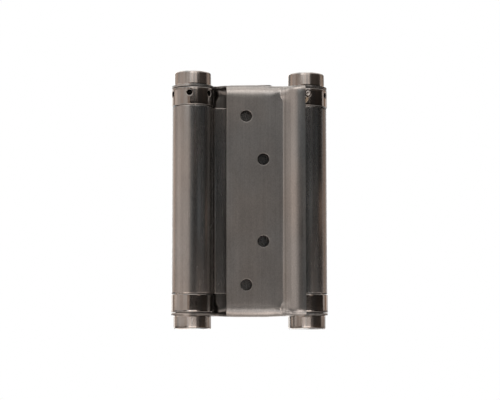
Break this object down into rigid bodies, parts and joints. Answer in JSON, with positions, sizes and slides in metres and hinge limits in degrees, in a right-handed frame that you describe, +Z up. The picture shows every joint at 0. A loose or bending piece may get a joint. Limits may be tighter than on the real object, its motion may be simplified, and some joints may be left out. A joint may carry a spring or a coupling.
{
  "type": "double action spring hinge",
  "caption": "Double action spring hinge: two folded sheet leaves, two sprung barrels with tommy-hole collars, round caps and one centre web.",
  "frame": {"origin": "on the surface the two lower caps stand on, midway between the barrel axes", "axes": "+Z up along both barrel axes, X across the barrels with the door leaf's barrel at +X, door leaf faces -Y and frame leaf faces +Y"},
  "size_m": [0.0686, 0.0219, 0.1122],
  "materials": {
    "satin_sheet": "satin brushed nickel plate, warm pewter tone",
    "polished_steel": "bright polished nickel plate",
    "pin_steel": "bright plated pin",
    "pintle_steel": "turned steel",
    "washer_steel": "plain steel",
    "spring_steel": "oiled spring steel wire"
  },
  "bodies": {
    "frame_side": {"frame_leaf": "satin_sheet", "left_pintle": "pintle_steel", "left_top_cap": "polished_steel", "left_bottom_cap": "polished_steel", "left_top_washer": "washer_steel", "left_bottom_washer": "washer_steel"},
    "left_tension": {"left_tension_collar": "polished_steel"},
    "left_pin": {"left_stop_pin": "pin_steel"},
    "centre": {"centre_web": "satin_sheet", "left_anchor_plug": "polished_steel", "right_anchor_plug": "polished_steel", "left_spring": "spring_steel", "right_spring": "spring_steel"},
    "door_side": {"door_leaf": "satin_sheet", "right_pintle": "pintle_steel", "right_top_cap": "polished_steel", "right_bottom_cap": "polished_steel", "right_top_washer": "washer_steel", "right_bottom_washer": "washer_steel"},
    "right_tension": {"right_tension_collar": "polished_steel"},
    "right_pin": {"right_stop_pin": "pin_steel"}
  },
  "joints": [
    {"name": "frame_swing", "type": "hinge", "parent": "frame_side", "child": "centre", "pos_m": [-0.025, 0, 0.0561], "axis": [0, 0, -1], "range_deg": [0, 180], "stiffness_Nm_per_rad": 0.155, "springref_deg": -8.59, "deforming": ["left_spring"]},
    {"name": "door_swing", "type": "hinge", "parent": "centre", "child": "door_side", "pos_m": [0.025, 0, 0.0561], "axis": [0, 0, 1], "range_deg": [0, 180], "stiffness_Nm_per_rad": 0.155, "springref_deg": -8.59, "deforming": ["right_spring"]},
    {"name": "left_collar_turn", "type": "hinge", "parent": "frame_side", "child": "left_tension", "pos_m": [-0.025, 0, 0.0561], "axis": [0, 0, 1], "range_deg": [0, 240], "stiffness_Nm_per_rad": 0.155, "springref_deg": -8.59, "deforming": ["left_spring"]},
    {"name": "right_collar_turn", "type": "hinge", "parent": "door_side", "child": "right_tension", "pos_m": [0.025, 0, 0.0561], "axis": [0, 0, 1], "range_deg": [0, 240], "stiffness_Nm_per_rad": 0.155, "springref_deg": -8.59, "deforming": ["right_spring"]},
    {"name": "left_pin_slide", "type": "slide", "parent": "left_tension", "child": "left_pin", "axis": [0.2164, 0.9763, 0], "range_m": [0, 0.008]},
    {"name": "right_pin_slide", "type": "slide", "parent": "right_tension", "child": "right_pin", "axis": [-0.0279, -0.9996, 0], "range_m": [0, 0.008]}
  ]
}
